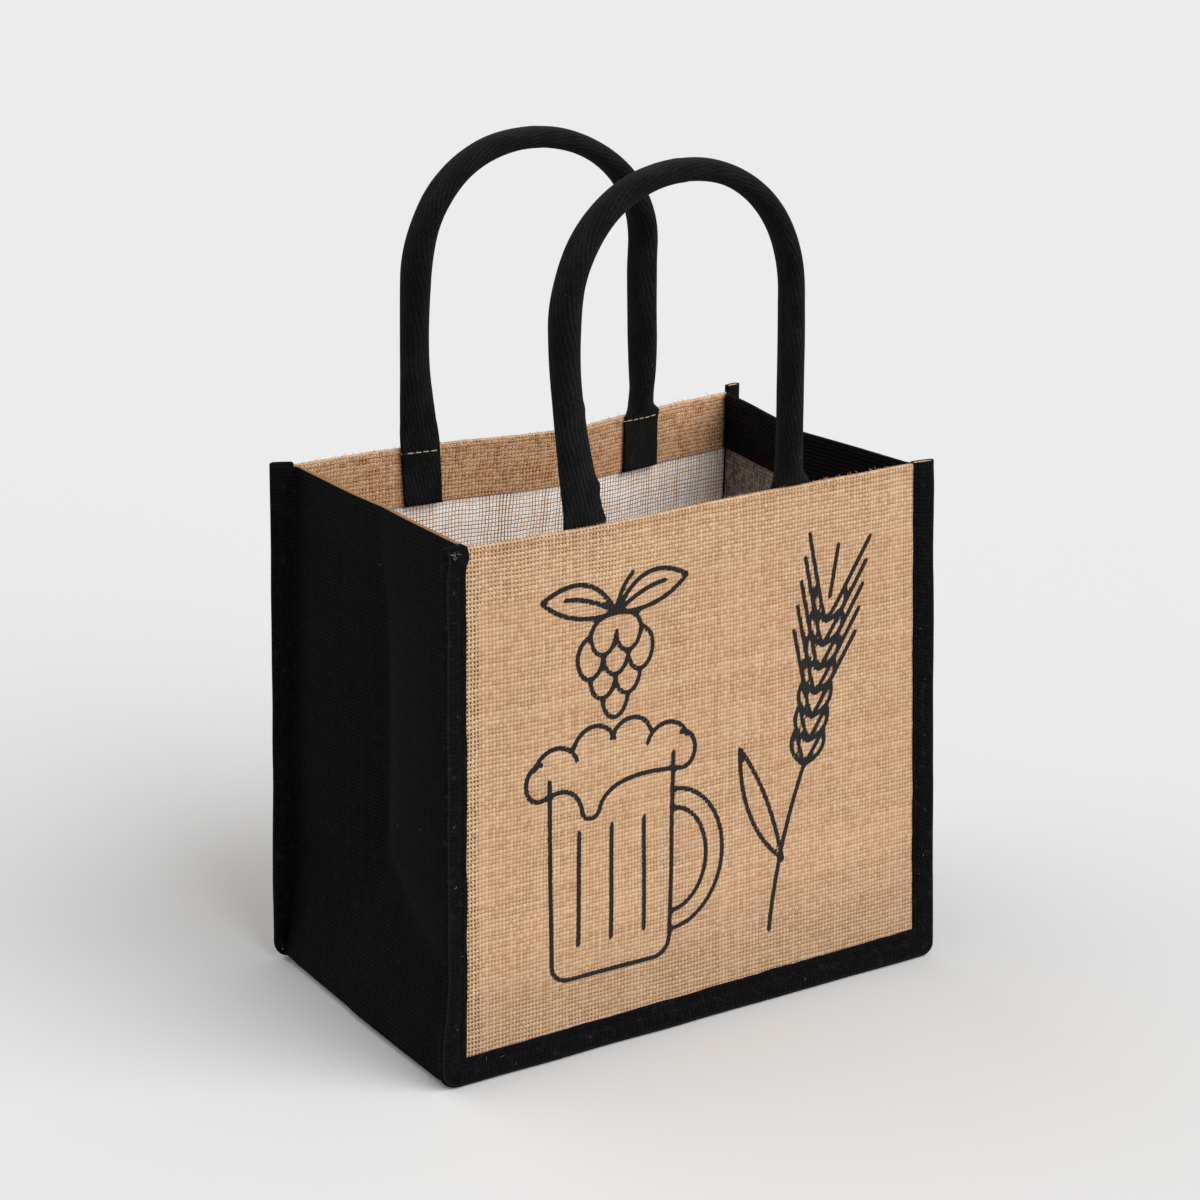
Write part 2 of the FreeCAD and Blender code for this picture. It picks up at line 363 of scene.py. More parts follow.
class Finish(Nodes):
    """A procedural material under construction: tints are laid over a first colour."""

    def __init__(self, name, roughness, specular):
        self.material = bpy.data.materials.new(name)
        self.material.use_nodes = True
        super().__init__(self.material.node_tree)
        self.surface = self.tree.nodes["Principled BSDF"].inputs
        self.surface["Roughness"].default_value = roughness
        self.surface["Specular IOR Level"].default_value = specular

    def joined(self, *numbers):
        """A place made of numbers."""
        return self.node("ShaderNodeCombineXYZ", dict(enumerate(numbers)))

    def parted(self, place):
        """The three numbers of a place."""
        first = self.node("ShaderNodeSeparateXYZ", {0: place})
        return [Term(self, socket) for socket in first.socket.node.outputs]

    def stored(self, name, output):
        """A value kept with the points of the mesh."""
        return self.node("ShaderNodeAttribute", {}, output, attribute_name=name)

    def on_cloth(self):
        """Take the place across and along the flat cloth, and give the share of a special zone."""
        self.across, self.along, zone = self.parted(self.stored("cloth", "Vector"))
        return zone

    def in_solid(self):
        """Place in the object's own space."""
        return self.parted(self.node("ShaderNodeTexCoord", {}, "Object"))

    def cloud(self, x, y, z=0.0, detail=2.0):
        """Soft noise about zero, from about -0.5 to 0.5, one unit to a swell."""
        inputs = {"Vector": self.joined(x, y, z), "Scale": 1.0, "Detail": detail}
        return self.node("ShaderNodeTexNoise", inputs) - 0.5

    def grain(self, width, length, seed=0.0, detail=2.0):
        """The same on the cloth, with swells of a width across and a length along it."""
        return self.cloud(self.across / width, self.along / length, seed, detail)

    def draw(self, column, row):
        """A random number from 0 to 1 for each pair of whole numbers."""
        inputs = {"Vector": self.joined(column, row)}
        return self.node("ShaderNodeTexWhiteNoise", inputs, noise_dimensions="2D")

    def wave(self, turns):
        """0 to 1 and back for each turn."""
        return (turns * math.tau).to("SINE") * 0.5 + 0.5

    def ease(self, value, low, high):
        """0 to 1 as a value goes from low to high."""
        inputs = {"Value": value, "From Min": low, "From Max": high}
        return self.node("ShaderNodeMapRange", inputs, interpolation_type="SMOOTHSTEP")

    def blend(self, share, first, second, mode="MIX"):
        """A colour between two colours."""
        inputs = {0: share, 6: first, 7: second}
        return self.node("ShaderNodeMix", inputs, 2, data_type="RGBA", blend_type=mode)

    def start(self, share, dark, light):
        """The first colour, between two."""
        self.colour = self.blend(share, dark, light)

    def lay(self, share, tint, mode="MIX"):
        """Lay a tint over the colour so far."""
        self.colour = self.blend(share, self.colour, tint, mode)

    def done(self, height=None, depth=0.0004):
        """Set the colour and the fine relief, and give the material."""
        self.feed(self.surface["Base Color"], self.colour)
        if height is not None:
            inputs = {"Strength": 1.0, "Distance": depth, "Height": height}
            self.feed(self.surface["Normal"], self.node("ShaderNodeBump", inputs))
        return self.material

    def fuzz(self, weight, tint):
        """A soft rim of loose fibres."""
        for name, value in (("Weight", weight), ("Roughness", 0.6), ("Tint", tint)):
            self.feed(self.surface["Sheen " + name], value)


def thread_grid(finish, wander):
    """Place counted in threads, across and along the cloth, which wander by a share of a thread."""
    a = finish.across / warp_pitch + finish.grain(0.012, 0.012) * wander
    b = finish.along / weft_pitch + finish.grain(0.014, 0.014, 5.0) * wander
    return a, b


def plain_weave(finish, a, b, fill, warp_more=0.0):
    """Round threads that pass over and under each other, each as wide as its share of the pitch.
    Gives the height, the crown of the thread on top, the share of open gap, the tone of that thread
    and a number for each crossing."""
    tone_spread = 0.14
    slub_spread = 0.5
    slub_length = 6.0
    column = a.to("FLOOR")
    row = b.to("FLOOR")
    a_share = a.to("FRACT")
    b_share = b.to("FRACT")

    def thread(share, number, seed, slub, width):
        """Roundness of a thread over its width, and its tone."""
        tone = finish.draw(number, seed)
        aside = (share * 2.0 - 1.0) / (width + tone * tone_spread + slub * slub_spread)
        return (1.0 - aside * aside).to("MAXIMUM", 0.0).to("SQRT"), tone + slub

    warp_slub = finish.cloud(column * 3.7, b / slub_length)
    weft_slub = finish.cloud(a / slub_length, row * 3.7, 8.0)
    warp_round, warp_tone = thread(a_share, column, warp_seed, warp_slub, fill - 0.05 + warp_more)
    weft_round, weft_tone = thread(b_share, row, weft_seed, weft_slub, fill)
    order = (column + row).to("FLOORED_MODULO", 2.0) * 2.0 - 1.0
    warp_lift = (b_share * math.pi).to("SINE") * order
    weft_lift = (a_share * math.pi).to("SINE") * order * -1.0
    warp_high = warp_round * (warp_lift * 0.4 + 0.6)
    weft_high = weft_round * (weft_lift * 0.4 + 0.6)
    height = warp_high.to("MAXIMUM", weft_high)
    warp_on_top = warp_high.to("GREATER_THAN", weft_high)
    tone = warp_on_top * warp_tone + (1.0 - warp_on_top) * weft_tone
    crown = warp_on_top * warp_round + (1.0 - warp_on_top) * weft_round
    gap = 1.0 - finish.ease(warp_round + weft_round, 0.05, 0.45)
    return height, crown * 0.65 + height * 0.35, gap, tone, finish.draw(column, row)


def natural_jute():
    """Undyed jute with a black print. Its zone is 1 where no film backs the gaps,
    and 2 on the hem inside."""
    # Painted shade: the two thread colours run from a thread's shaded sides to its lit crown.
    thread = ((0.225, 0.112, 0.050), (0.57, 0.360, 0.206))
    slub, pale, dark = (0.655, 0.462, 0.281), (0.70, 0.515, 0.325), (0.33, 0.173, 0.077)
    stain = (0.35, 0.20, 0.10)
    # Painted shade: the hole colours darken the gaps between the threads, most where no film closes
    # them; lit_hole is painted light in the gaps of the hem inside.
    backed_hole, open_hole, lit_hole = (0.31, 0.145, 0.055), (0.090, 0.036, 0.011), (0.85, 0.70, 0.58)
    # The foot tint is painted shade that darkens the cloth towards the foot.
    backed_tint, inner_tint, painted_foot_shade = (0.93, 0.89, 0.885), (0.89, 0.75, 0.65), (0.80, 0.80, 0.82)
    ink = (0.011, 0.0105, 0.0115)
    finish = Finish("natural_jute_cloth", roughness=0.88, specular=0.15)
    zone = finish.on_cloth()
    bare = zone.limited()
    inner = (zone - 1.0).limited()
    a, b = thread_grid(finish, wander=0.7)
    near_rim = finish.ease(finish.along, rim + 0.019, rim + 0.009)
    closed = inner * (1.0 - near_rim) * 0.17
    height, crown, gap, tone, crossing = plain_weave(finish, a, b, 0.97 - bare * 0.40, closed)
    patch = finish.grain(0.03, 0.02, 3.0, detail=3.0)
    # Painted shade: each thread is darker down its sides and lighter on its crown.
    finish.start(finish.ease(crown, 0.30, 0.95), *thread)
    finish.lay((tone * 0.55).limited(), slub)
    finish.lay(finish.ease(crossing, 0.5, 1.0) * 0.28, pale)
    finish.lay(finish.ease(crossing, 0.4, 0.0) * 0.32, dark)
    finish.lay((patch * 0.5 + 0.05).limited(), stain)
    shining = inner * finish.ease(crossing + patch * 1.5 + near_rim * 0.3, 0.52, 0.72)
    # Painted shade in the gaps between the threads, and painted light in the gaps of the hem inside.
    finish.lay(gap, finish.blend(shining, finish.blend(bare, backed_hole, open_hole), lit_hole))
    finish.lay(1.0 - bare, backed_tint, "MULTIPLY")
    finish.lay(inner, inner_tint, "MULTIPLY")
    # Painted shade: darker towards the foot.
    finish.lay(finish.ease(finish.along, 0.065, 0.010), painted_foot_shade, "MULTIPLY")
    ragged = finish.stored("ink", "Fac") + finish.grain(0.0011, 0.0011) * 0.0007
    inked = 1.0 - finish.ease(ragged, print_line * 0.42, print_line * 0.58)
    worn = finish.ease(finish.grain(0.0016, 0.0016, 7.0, detail=3.0), 0.18, 0.36)
    finish.lay(inked * (1.0 - worn * 0.35), ink)
    finish.fuzz(0.05, (0.9, 0.75, 0.55))
    return finish.done(height, depth=0.0005)


def film_backed_jute(name, film, shaded_film, line, roughness):
    """Inside of the cloth: squares of film between the lines of the threads."""
    edge = 0.3
    finish = Finish(name, roughness=roughness, specular=0.3)
    finish.on_cloth()
    a, b = thread_grid(finish, wander=0.9)
    lines = []
    for place, width_seed, tone_seed, start in ((a, warp_seed, 17.5, 0.53), (b, weft_seed, 43.5, 0.57)):
        thread = place.to("FLOOR")
        begin = finish.draw(thread, width_seed) * 0.22 + start
        strength = finish.draw(thread, tone_seed) * 0.7 + 0.45
        aside = (place.to("FRACT") * 2.0 - 1.0).to("ABSOLUTE")
        lines.append(finish.ease(aside, begin, begin + edge) * strength)
    threads = lines[0].to("MAXIMUM", lines[1]).limited()
    patch = finish.grain(0.02, 0.03, 2.0, detail=3.0)
    square = finish.draw(a.to("FLOOR"), b.to("FLOOR"))
    finish.start(finish.ease(square + patch, 0.7, 0.0), film, shaded_film)
    finish.lay(threads, line)
    return finish.done(1.0 - threads, depth=0.0003)


def black_jute():
    """Black dyed jute that shows its natural colour where the fold at the rim is worn, and carries
    painted light along the front crease of the sides.
    """
    finish = Finish("black_jute_cloth", roughness=0.9, specular=0.04)
    # This zone holds the worn rim and the painted light along the front crease.
    worn = finish.on_cloth()
    a, b = thread_grid(finish, wander=0.6)
    height, _, _, tone, crossing = plain_weave(finish, a, b, black_fill)
    ridge = (b * math.tau).to("COSINE") * -0.5 + 0.5
    shine = finish.ease(height * 0.5 + ridge * 0.6, 0.2, 1.0)
    finish.start(shine, (0.0010, 0.0010, 0.0010), (0.0050, 0.0049, 0.0049))
    finish.lay((tone * 0.4).limited(), (0.0074, 0.0072, 0.0072))
    finish.lay(finish.ease(crossing, 0.75, 1.0) * 0.4, (0.0094, 0.0092, 0.0092))
    # Paler where the rim is worn, and painted light along the front crease.
    finish.lay((worn * 2.0).limited() * 0.6, (0.0125, 0.0122, 0.0122))
    grain = finish.grain(0.0016, 0.004, 1.0, detail=3.0)
    undyed = (0.28, 0.16, 0.07)
    finish.lay(finish.ease(worn + grain * 0.4, 0.5, 0.9), undyed)
    return finish.done(height + ridge * 0.6, depth=0.0005)


def black_tape():
    """Binding cut from the black jute, rubbed pale along its outer fold, a line that is partly wear and
    partly painted highlight.
    """
    finish = Finish("black_binding_tape", roughness=0.92, specular=0.04)
    # This zone marks the outer fold, rubbed pale and painted as a highlight line.
    worn = finish.on_cloth()
    a, b = thread_grid(finish, wander=0.8)
    height, _, _, tone, crossing = plain_weave(finish, a, b, black_fill)
    fluff = finish.grain(0.0009, 0.0014, 2.0, detail=4.0)
    lint = finish.ease(finish.grain(0.004, 0.004, 4.0, detail=4.0), 0.04, 0.3)
    shine = finish.ease(height * 0.8 + fluff * 0.8, 0.0, 1.0)
    finish.start(shine, (0.0010, 0.0010, 0.0011), (0.0050, 0.0048, 0.0050))
    finish.lay((tone * 0.4).limited(), (0.0066, 0.0064, 0.0066))
    finish.lay(finish.ease(crossing, 0.7, 1.0) * 0.4, (0.0088, 0.0085, 0.0087))
    finish.lay(lint * 0.5, (0.021, 0.0203, 0.0203))
    # Painted highlight along the outer fold, which is also rubbed pale.
    finish.lay(worn * (fluff * 0.8 + 0.5).limited(), (0.017, 0.0165, 0.0165))
    return finish.done(height + fluff * 0.6)


def black_webbing():
    """Cotton webbing: twill ribs that run aslant along the strap, faded in places, with lint."""
    # Painted shade: groove is the colour down in the grooves, darker than the ribs.
    groove = (0.0012, 0.0012, 0.0012)
    fresh, faded = (0.0062, 0.0061, 0.0062), (0.0152, 0.0148, 0.0152)
    finish = Finish("black_handle_webbing", roughness=0.92, specular=0.05)
    finish.on_cloth()
    wander = finish.grain(0.006, 0.012) * 0.8
    rib = finish.wave(finish.across / 0.0018 + finish.along / 0.0090 + wander)
    pick = finish.wave(finish.along / 0.0013 - finish.across / 0.0040)
    fluff = finish.grain(0.0009, 0.0022, 6.0, detail=4.0)
    height = rib * 0.25 + rib * pick * 0.2 + fluff + 0.35
    lint = finish.ease(finish.grain(0.0025, 0.004, 4.0, detail=4.0), 0.14, 0.40)
    fade = finish.ease(finish.grain(0.008, 0.015, 9.0, detail=3.0), -0.22, 0.25)
    fleck = finish.ease(finish.grain(0.0007, 0.0011, 11.0, detail=1.0), 0.22, 0.30)
    # Painted shade: darkest in the grooves, lighter on the ribs.
    finish.start(finish.ease(height, 0.0, 1.1), groove, finish.blend(fade, fresh, faded))
    finish.lay(lint * 0.6, (0.024, 0.0235, 0.0238))
    finish.lay(fleck * 0.55, (0.085, 0.082, 0.081))
    finish.fuzz(0.04, (0.45, 0.45, 0.47))
    return finish.done(height)


def sewing_thread(name, dark, light):
    """Twisted thread."""
    finish = Finish(name, roughness=0.9, specular=0.05)
    x, y, z = finish.in_solid()
    twist = finish.wave((x + y + z) / 0.0006)
    finish.start(twist, dark, light)
    return finish.done(twist, depth=0.00015)


def cut_cloth():
    """Raw edges of the jute layers inside a cut binding."""
    finish = Finish("raw_jute_edge", roughness=0.9, specular=0.1)
    x, y, z = finish.in_solid()
    strand = finish.cloud(x / 0.0006, y / 0.0006, z / 0.0012, detail=3.0)
    finish.start(finish.ease(strand, -0.25, 0.25), (0.30, 0.15, 0.07), (0.72, 0.45, 0.26))
    return finish.done(strand)


def divider_board():
    """Grey-brown fibre board with flecks."""
    finish = Finish("divider_fibre_board", roughness=0.85, specular=0.2)
    x, y, z = finish.in_solid()
    fleck = finish.cloud((x + y) / 0.0016, z / 0.0005, 1.0, detail=5.0)
    cloudy = finish.cloud((x + y) / 0.03, z / 0.03, 2.0, detail=3.0)
    finish.start(finish.ease(fleck, -0.3, 0.3), (0.24, 0.155, 0.09), (0.40, 0.28, 0.175))
    finish.lay((cloudy * 0.8 + 0.2).limited(), (0.30, 0.205, 0.125))
    return finish.done(fleck, depth=0.0002)


def stage_floor():
    """Pale matt floor that throws little light back up at the object."""
    thrown, seen = (0.28, 0.28, 0.28), (0.577, 0.577, 0.577)
    finish = Finish("pale_floor", roughness=1.0, specular=0.0)
    finish.start(finish.looked_at(), thrown, seen)
    return finish.done()


natural = natural_jute()
film_inside = film_backed_jute(
    "film_backed_jute", film=(1.0, 0.962, 0.925), shaded_film=(1.0, 0.81, 0.66),
    line=(0.35, 0.150, 0.070), roughness=0.45,
)
film_inside_black = film_backed_jute(
    "film_backed_black_jute", film=(0.32, 0.27, 0.24), shaded_film=(0.11, 0.085, 0.07),
    line=(0.030, 0.022, 0.017), roughness=0.5,
)
black_cloth = black_jute()
tape_finish = black_tape()
webbing_finish = black_webbing()
beige_thread = sewing_thread("beige_thread", (0.38, 0.27, 0.17), (0.68, 0.55, 0.40))
jute_thread = sewing_thread("jute_thread", (0.40, 0.245, 0.13), (0.60, 0.40, 0.24))
black_thread = sewing_thread("black_thread", (0.002, 0.002, 0.002), (0.006, 0.006, 0.006))
pale_fibre = sewing_thread("pale_fibre", (0.30, 0.28, 0.26), (0.55, 0.52, 0.48))
raw_edge = cut_cloth()
board_finish = divider_board()


# Print on the front: line drawings of a mug, a hop cone and an ear of barley

def arc(centre_x, centre_z, radius_x, radius_z, start, end, steps=24):
    """Points along an elliptic arc, in degrees anticlockwise from the right."""
    angles = np.radians(np.linspace(start, end, steps))
    return [(centre_x + radius_x * math.cos(a), centre_z + radius_z * math.sin(a)) for a in angles]


def bent(start, middle, end, steps=16):
    """Points along a curve that leaves two points towards a third."""
    line = []
    for t in np.linspace(0, 1, steps):
        weights = ((1 - t) ** 2, 2 * t * (1 - t), t * t)
        line.append(tuple(sum(w * p[k] for w, p in zip(weights, (start, middle, end))) for k in (0, 1)))
    return line


def mug_lines(left, foot, width, height):
    """Handled mug with a head of foam."""
    right = left + width
    top = foot + height
    corner = 0.008
    taper = 0.002
    first = left + taper + corner
    last = right - taper - corner
    drip = top - 0.016
    foam_foot = top - 0.008
    lines = [
        [(left, top), (left + taper, foot + corner)],
        arc(first, foot + corner, corner, corner, 180, 270),
        [(first, foot), (last, foot)],
        arc(last, foot + corner, corner, corner, 270, 360),
        [(right - taper, foot + corner), (right, top)],
        arc(left - 0.005, top, 0.006, 0.008, 80, 280),
        arc(right + 0.005, top, 0.006, 0.008, -100, 100),
        bent((left - 0.004, foam_foot), (left + 0.012, top - 0.001), (left + 0.016, drip)),
        arc(left + 0.0205, drip, 0.0045, 0.005, 180, 360),
        bent((left + 0.025, drip), (left + 0.030, top - 0.002), (right + 0.004, foam_foot)),
    ]
    for grow in (0.0, -0.0085):
        lines.append(arc(right - 0.001, foot + 0.47 * height, 0.026 + grow, 0.032 + grow, -90, 90))
    for share in (0.24, 0.5, 0.76):
        x = left + share * width
        lines.append([(x, foot + 0.16 * height), (x, foot + 0.72 * height)])
    lifts = (0.0, 0.006, 0.006, 0.0)
    step = (width + 0.012) / len(lifts)
    for i, lift in enumerate(lifts):
        centre = left - 0.006 + (i + 0.5) * step
        lines.append(arc(centre, top + lift + 0.004, 0.56 * step, 0.010, 15, 165))
    return lines


def hop_lines(x, top, scale_width, scale_height):
    """Hop cone of overlapping scales under a stem with two leaves."""
    crown = top - 0.008
    stem = (x, top)
    lines = [bent(stem, (x + 0.001, top + 0.010), (x + 0.008, top + 0.016))]
    for row, count in enumerate((2, 3, 2, 1)):
        z = crown - row * scale_height
        for i in range(count):
            centre = x + scale_width * (i - (count - 1) / 2)
            lines.append(arc(centre, z, scale_width / 2, scale_height, 180, 360))
    for side in (-1, 1):
        widest = x + side * 1.5 * scale_width
        shoulder = (x + side * scale_width, crown)
        tip = (x + side * 0.036, top + 0.010)
        lines += [
            bent(stem, (x + side * 0.9 * scale_width, top), shoulder),
            bent(shoulder, (widest, crown - 0.3 * scale_height), (widest, crown - scale_height)),
            bent(stem, (x + side * 0.013, top + 0.024), tip),
            bent(stem, (x + side * 0.023, top - 0.003), tip),
            bent(stem, (x + side * 0.013, top + 0.009), (x + side * 0.025, top + 0.0095)),
        ]
    return lines


def barley_lines(foot, ear, tip, grains):
    """Ear of barley on a curved stalk, with long awns."""
    lines = [bent(foot, (foot[0] + 0.004, (foot[1] + ear[1]) / 2), ear)]
    run_x = tip[0] - ear[0]
    run_z = tip[1] - ear[1]
    length = math.hypot(run_x, run_z)
    up = (run_x / length, run_z / length)
    out = (up[1], -up[0])
    step = length / grains

    def at(along, aside):
        return (ear[0] + up[0] * along + out[0] * aside, ear[1] + up[1] * along + out[1] * aside)

    for i in range(grains):
        base = i * step
        for side in (-1, 1):
            grain_tip = at(base + 1.5 * step, side * 0.0075)
            for belly in (0.0125, 0.0035):
                lines.append(bent(at(base, 0), at(base + 0.55 * step, side * belly), grain_tip))
            if i > 1:
                lines.append([grain_tip, at(base + 3.6 * step, side * 0.017)])
    lines.append([at(length, 0), at(length + 2.2 * step, 0)])
    return lines


def print_lines():
    """Every line of the print, in the plane of the front panel."""
    lines = mug_lines(left=-0.076, foot=0.036, width=0.062, height=0.092)
    lines += hop_lines(x=-0.044, top=0.196, scale_width=0.0125, scale_height=0.0095)
    lines += barley_lines(foot=(0.036, 0.034), ear=(0.054, 0.108), tip=(0.068, 0.182), grains=7)
    for leaf_edge in ((0.020, 0.086), (0.036, 0.100)):
        lines.append(bent((0.043, 0.066), leaf_edge, (0.020, 0.122)))
    return lines


def ink_distance(points):
    """Distance from each point of the panel to the nearest printed line."""
    nearest = np.full(len(points), 1.0)
    for line in print_lines():
        for start, end in zip(line, line[1:]):
            a = np.array(start)
            run = np.array(end) - a
            share = np.clip((points - a) @ run / max(run @ run, 1e-12), 0, 1)
            gap = np.linalg.norm(points - a - share[:, None] * run, axis=1)
            nearest = np.minimum(nearest, gap)
    return nearest


# Panels

def panel_bow(x, z, back):
    """How far a panel stands out of its plane at a place on it; negative where it falls in."""
    if back:
        at_rim = -back_fall * math.exp(-((x - back_fall_at) / back_fall_width) ** 2)
    else:
        at_rim = front_swell * math.exp(-((x - front_swell_at) / front_swell_width) ** 2)
    free = smooth((seam_half - abs(x)) / seam_ease)
    rise = max(0.0, (z - seam_width) / (rim - seam_width)) ** rim_fade
    slack = panel_slack * ripple(x, z, 0.05, 2.0 if back else 9.0)
    return free * (at_rim * rise + slack * smooth(z / 0.06))


def rim_height(x, back):
    """Height of the hemmed edge, a little uneven."""
    return rim + rim_slack * ripple(x, 0.0, 0.03, 4.0 if back else 14.0)


def panel_rows(cell):
    """Section from the foot up the outside, over the rim and down the inside, row by row."""
    rows = [("outside", z) for z in np.arange(panel_foot, rim - cloth, cell)]
    rows.append(("outside", rim - cloth))
    rows += [("turn", angle) for angle in turn_angles]
    hem_end = rim - panel_hem
    rows += [("hem", z) for z in np.linspace(rim - cloth, hem_end + cut_edge, 11)]
    rows += [("hem", hem_end), ("inside", hem_end)]
    rows += [("inside", z) for z in np.linspace(hem_end - cut_edge, panel_foot, 52)]
    return rows


def panel_point(x, row, back):
    """Place of a row's point, and how far along the cloth it lies."""
    kind, value = row
    hem_layer = cloth if abs(x) <= hem_half else 0.0
    inset = 0.0
    z = value
    run = value
    if kind == "turn":
        inset = (cloth + hem_layer) / 2 * (1 - math.cos(value))
        z = rim - cloth + cloth * math.sin(value)
        run = rim - cloth + cloth * value
    if kind == "hem":
        inset = cloth + hem_layer
        run = 2 * rim - value + cloth
    if kind == "inside":
        inset = cloth
    if abs(x) > seam_half:
        out = (abs(x) - seam_half) / (panel_half - seam_half) * (edge_half(z) - seam_half)
        at_seam = math.copysign(seam_half + out, x)
        return seam_point(at_seam, z, face - inset - seam_middle, back), run
    lift = (rim_height(x, back) - rim) * smooth((z - rim + panel_hem) / panel_hem)
    depth = face + panel_bow(x, z, back) - inset
    return Vector((x, depth if back else -depth, z + lift)), run


def edge_half(z):
    """Half width of a panel at a height: its lower corners are rounded."""
    below = max(0.0, panel_foot + seam_corner - z)
    return panel_half - seam_corner + math.sqrt(seam_corner ** 2 - below ** 2)


def bare_share(x, z):
    """1 where no film closes the gaps between the threads: most at the left seam, then at the hem
    and the foot."""
    seam_strip = 0.0070
    foot_strip = 0.045
    ragged = 0.002
    jitter = ragged * ripple(x, z, 0.01, 6.0)
    patch = smooth(0.5 + 1.3 * ripple(x, z, 0.03, 21.0))
    toward_left = smooth((0.05 - x) / 0.12)
    in_hem = smooth((z - (rim - panel_hem) + jitter) / 0.003)
    near_seam = smooth((-x - (seam_half - seam_strip) + jitter) / 0.0012)
    near_foot = smooth((seam_width + foot_strip - z + 3 * jitter) / 0.04)
    hem = in_hem * (0.40 + 0.16 * patch + 0.16 * toward_left)
    foot = near_foot * (0.50 + 0.18 * patch)
    return max(hem, near_seam, foot, 0.3 * smooth(2 * patch - 1))


def make_panel(name, node, back, cell):
    """One hemmed panel as a closed shell of cloth."""
    columns = list(np.linspace(-panel_half, panel_half, int(2 * panel_half / cell) + 1))
    rows = panel_rows(cell)
    points = []
    cloth_at = []
    for row in rows:
        for x in columns:
            point, run = panel_point(x, row, back)
            points.append(point)
            zone = 2.0 if row[0] == "hem" else bare_share(x, point.z)
            cloth_at.append((x, run, zone))
    faces = grid_faces(len(rows), len(columns), wrap_rows=True)
    kinds = [kind for kind, _ in rows]
    inside_from = kinds.index("inside")
    sections = []
    for i in range(len(rows)):
        inside = inside_from <= i < len(rows) - 1
        sections += [1 if inside else 0] * (len(columns) - 1)
    turn_from = kinds.index("turn")
    hem_from = kinds.index("hem")
    for ring in edge_rings(len(rows), len(columns)):
        ends = slit_faces(ring[:turn_from], ring[hem_from:][::-1])
        ends.append(tuple(ring[turn_from - 1:hem_from + 1]))
        faces += ends
        sections += [0] * len(ends)
    ink = np.full(len(points), 1.0)
    if not back:
        outside = turn_from * len(columns)
        flat = np.array([(p.x, p.z) for p in points[:outside]])
        ink[:outside] = ink_distance(flat)
    panel = add_piece(name, points, faces, [natural, film_inside], sections, cloth_at, ink)
    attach(panel, "bag")
    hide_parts(node)


# Gusset strip

def second_facet(dent):
    """Plane through the crease's end, the apex and the end of the bottom fold,
    as the terms of inset = a + b |y| + c z."""
    places = np.array([(1, fold_start, crease_end), (1, 0, crease_apex), (1, fold_end, 0)])
    return np.linalg.solve(places, np.array([0, dent, -fold_flare]))


def crease_y(z):
    """Place of the centre crease of a side at a height."""
    down = min(1.0, (rim - z) / (rim - crease_apex))
    return crease_rim_y + (crease_apex_y - crease_rim_y) * down


def side_inset(y, z, side):
    """How far a gusset is drawn in from the seam line; negative where it stands out."""
    dent = left_dent if side < 0 else right_dent
    rim_dent = left_rim_dent if side < 0 else right_dent
    plane = facets[side]
    from_crease = abs(y - crease_y(z) * (1 - min(1.0, abs(y) / fold_start)))
    reach = math.hypot(from_crease, crease_soft) - 0.3 * crease_soft
    share = min(1.0, reach / fold_start)
    slack = smooth((rim - z) / slack_run)
    upper = (rim_dent + (dent - rim_dent) * slack) * (1 - share)
    upper -= pillow * (0.2 + 0.8 * slack) * 4 * share * (1 - share)
    corner = plane[0] + plane[1] * reach + plane[2] * z
    foot = dent - (dent + fold_flare) * (crease_apex - z) / crease_apex
    past_tape = max(0.0, abs(y) - binding_in + tape_overlap)
    flange = past_tape * flange_slope * smooth((z - foot_loose) / front_turn_run)
    soft = front_fold_soft + back_fold_softer * smooth(y / 0.02)
    return soft_min(upper, soft_max(corner, foot, soft), soft) - flange


def fold_painted_light(y, z):
    """How much painted light a side has along its front crease, from 0 to 1: most on the crease,
    and less and less towards the front."""
    fade_front = 0.015
    fade_back = 0.0012
    if z < crease_end:
        return 0.0
    drop = crease_apex - crease_end
    below = max(0.0, crease_apex - z) / drop
    past = crease_y(z) - (fold_start + crease_y(z)) * below - y
    if below > 0:
        past *= drop / math.hypot(fold_start, drop)
    strength = (0.4 + 0.6 * smooth((rim - z) / slack_run)) * smooth((z - crease_end) / 0.02)
    return strength * math.exp(-past / fade_front if past > 0 else past / fade_back)


def foot_height(y, share):
    """Height of the base: flat, rising to the seams at the front and back between its corners."""
    corner_from = 0.86  # share of the half length
    corner_run = 0.12
    rise = seam_width * smooth((abs(y) - base_edge) / (fold_start - base_edge))
    return rise * (1 - smooth((abs(share) - corner_from) / corner_run))


def strip_rows():
    """Stations along the strip, from the left rim over the base to the right rim."""
    edge = cut_edge / rim
    near_hem_end = {strip_hem_end + edge * steps for steps in (1, 0, -1, -2)}
    shares = sorted(set(np.linspace(0, 1, 80)) | near_hem_end, reverse=True)
    rows = [("left", share) for share in shares]
    rows += [("base", share) for share in np.linspace(-1, 1, 56)[1:-1]]
    rows += [("right", share) for share in reversed(shares)]
    return rows


def strip_point(row, y):
    """Place of a station's point on the outside of the strip."""
    part, share = row
    if part == "base":
        side = -1 if share < 0 else 1
        half = seam_half - side_inset(y, 0.0, side)
        return Vector((share * half, y, foot_height(y, share)))
    side = -1 if part == "left" else 1
    z = (rim - cloth) * share
    inset = side_inset(y, z, side)
    free = smooth((fold_start - abs(y)) / 0.02)
    inset += free * strip_slack * ripple(y, z, 0.035, 30.0 + side)
    return Vector((side * (seam_half - inset), y, z))


facets = {-1: second_facet(left_dent), 1: second_facet(right_dent)}


def relax_folds(grid, rows, passes):
    """Round the two bottom folds."""
    parts = [part for part, _ in rows]
    folds = (parts.index("base"), parts.index("right"))
    for _ in range(passes):
        for fold in folds:
            for i in range(fold - 2, fold + 3):
                grid[i] = grid[i] / 2 + (grid[i - 1] + grid[i + 1]) / 4


